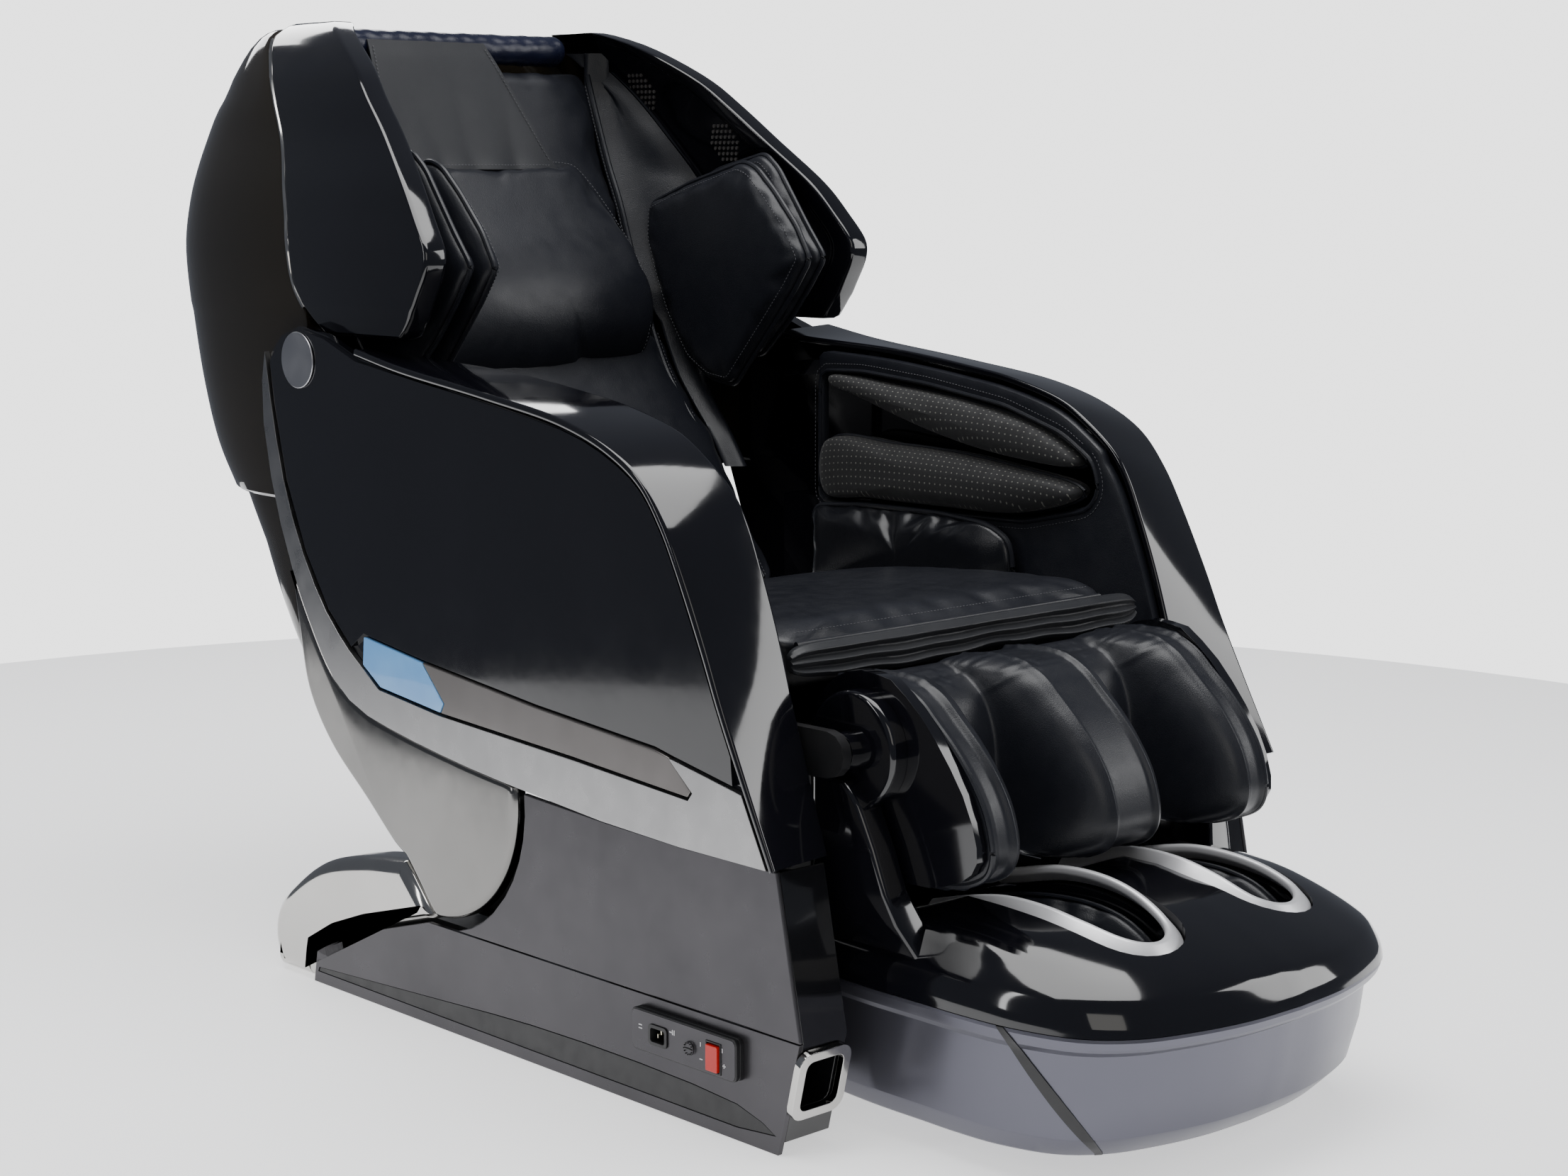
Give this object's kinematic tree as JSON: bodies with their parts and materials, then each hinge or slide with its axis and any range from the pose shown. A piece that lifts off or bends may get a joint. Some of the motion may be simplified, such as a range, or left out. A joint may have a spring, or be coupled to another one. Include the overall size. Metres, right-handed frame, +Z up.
{
  "type": "massage chair",
  "caption": "Reclining massage chair with side pods, domed back shell, padded arms, lifting calf rest, sliding foot rest and a low base with a power panel.",
  "frame": {"origin": "centre of the footprint at floor level", "axes": "+Z up, the sitter faces -Y, +X is the sitter's left"},
  "size_m": [0.8722, 1.731, 1.256],
  "materials": {
    "gloss_black": "high gloss piano black",
    "shell_black": "high gloss very dark brown",
    "leather": "soft black leather with a slight sheen",
    "pad_fabric": "perforated dark fabric",
    "header_leather": "dark navy leather",
    "satin_silver": "satin silver paint",
    "trim_grey": "satin mid grey paint",
    "lens_blue": "smooth light blue lens",
    "polished_silver": "polished",
    "base_grey": "satin grey",
    "wedge_black": "satin black",
    "housing_black": "gloss black",
    "inlet_black": "matte black",
    "rocker_red": "gloss red",
    "frame_steel": "satin black paint over steel"
  },
  "bodies": {
    "base": {"base_frame": "frame_steel", "base_cover_left": "base_grey", "base_cover_right": "base_grey", "base_skirt_left": "base_grey", "base_skirt_right": "base_grey", "skirt_wedge_left": "wedge_black", "skirt_wedge_right": "wedge_black", "front_housing_left": "housing_black", "front_housing_right": "housing_black", "bezel_left": "polished_silver", "bezel_right": "polished_silver", "rear_cap_left": "polished_silver", "rear_cap_right": "polished_silver", "power_plate": "base_grey", "power_inlet": "inlet_black"},
    "rocker": {"power_rocker": "rocker_red"},
    "carriage": {"seat_frame": "frame_steel", "pod_left": "gloss_black", "pod_right": "gloss_black", "arm_band_left": "gloss_black", "arm_band_right": "gloss_black", "pod_trim_left": "satin_silver", "pod_trim_right": "satin_silver", "trim_insert_left": "trim_grey", "trim_insert_right": "trim_grey", "trim_lens_left": "lens_blue", "trim_lens_right": "lens_blue", "pod_fin_left": "polished_silver", "pod_fin_right": "polished_silver", "pod_cap_left": "satin_silver", "pod_cap_right": "satin_silver", "arm_liner_left": "leather", "arm_liner_right": "leather", "arm_pad_upper_left": "pad_fabric", "arm_pad_upper_right": "pad_fabric", "arm_pad_lower_left": "pad_fabric", "arm_pad_lower_right": "pad_fabric", "hip_pad_left": "leather", "hip_pad_right": "leather", "seat_cushion": "leather", "seat_flap": "leather"},
    "backrest": {"back_shell": "shell_black", "lower_shell": "shell_black", "back_frame": "frame_steel", "wing_left": "gloss_black", "wing_right": "gloss_black", "shoulder_pad_left": "leather", "shoulder_pad_right": "leather", "header_bar": "header_leather", "back_pad": "leather", "back_pillow": "leather", "head_flap": "leather"},
    "legrest": {"calf_shell": "gloss_black", "calf_cushion": "leather"},
    "footrest": {"foot_shell": "gloss_black", "foot_skirt": "base_grey", "foot_ring_left": "satin_silver", "foot_ring_right": "satin_silver", "foot_pad_left": "leather", "foot_pad_right": "leather"}
  },
  "joints": [
    {"name": "seat_tilt", "type": "hinge", "parent": "base", "child": "carriage", "pos_m": [0, 0.1525, 0.31], "axis": [-1, 0, 0], "range_deg": [0, 20]},
    {"name": "back_recline", "type": "hinge", "parent": "carriage", "child": "backrest", "pos_m": [0, 0.2925, 0.43], "axis": [-1, 0, 0], "range_deg": [0, 40]},
    {"name": "legrest_lift", "type": "hinge", "parent": "carriage", "child": "legrest", "pos_m": [0, -0.4575, 0.43], "axis": [-1, 0, 0], "range_deg": [0, 80]},
    {"name": "foot_extend", "type": "slide", "parent": "legrest", "child": "footrest", "axis": [0, 0, -1], "range_m": [0, 0.112]},
    {"name": "power_switch", "type": "hinge", "parent": "base", "child": "rocker", "pos_m": [-0.412, -0.3785, 0.091], "axis": [0, 1, 0], "range_deg": [-6, 6]}
  ],
  "couplings": [
    {"joint": "foot_extend", "follows": "legrest_lift", "m_per_rad": 0.08}
  ]
}
